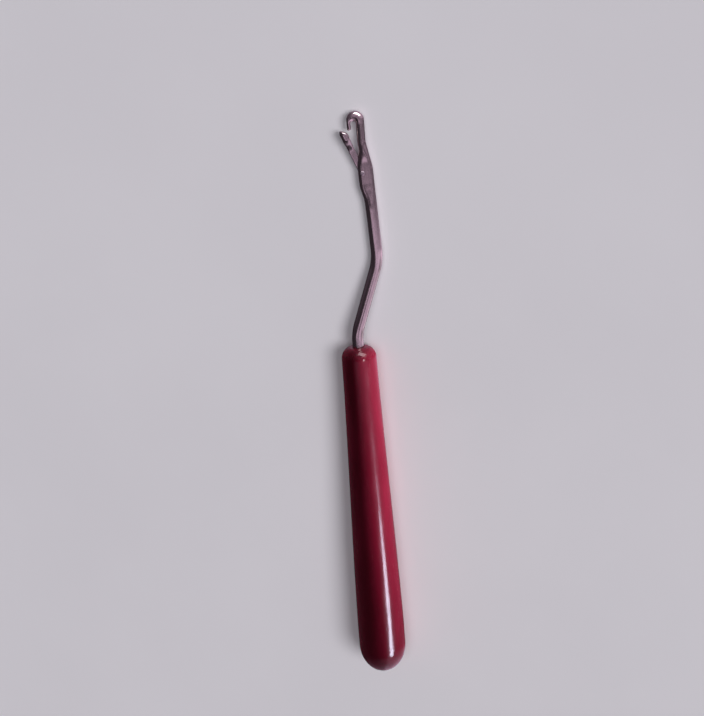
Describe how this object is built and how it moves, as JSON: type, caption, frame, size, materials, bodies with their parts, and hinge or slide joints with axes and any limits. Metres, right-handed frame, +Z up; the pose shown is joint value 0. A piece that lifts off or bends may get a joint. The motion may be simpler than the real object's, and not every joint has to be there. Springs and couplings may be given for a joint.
{
  "type": "latch hook tool",
  "caption": "Hand latch hook: round tapered plastic handle, cranked steel wire shank formed into a hook, and a spoon-tipped latch that swings on a rivet to close the hook.",
  "frame": {"origin": "middle of the tool's outline seen from above, on the surface that the tool lies on", "axes": "+Y towards the hook along the tool, +Z up from the surface, the crank bends towards +X and the hook opens towards -X. The tool lies as it comes to rest: the handle along its lower side and the cranked wire touching the surface, so the handle's axis dips 1.44 degrees towards +Y and the plane of the hook is rolled 19.4 degrees about it"},
  "size_m": [0.015, 0.1642, 0.0138],
  "materials": {
    "handle": "glossy injection-moulded plastic in deep crimson, fine handling scratches",
    "shank": "bright nickel plate over drawn steel wire, faint lengthwise drawing lines",
    "latch": "nickel-plated stamped steel, tumbled edges",
    "rivet": "plain steel pin with peened ends"
  },
  "bodies": {
    "tool": {"handle": "handle", "shank": "shank", "latch_rivet": "rivet"},
    "latch": {"latch": "latch"}
  },
  "joints": [
    {"name": "latch_pivot", "type": "hinge", "parent": "tool", "child": "latch", "pos_m": [0.00386, 0.06581, 0.00192], "axis": [0.3325, 0.0237, 0.9428], "range_deg": [-9, 150]}
  ]
}
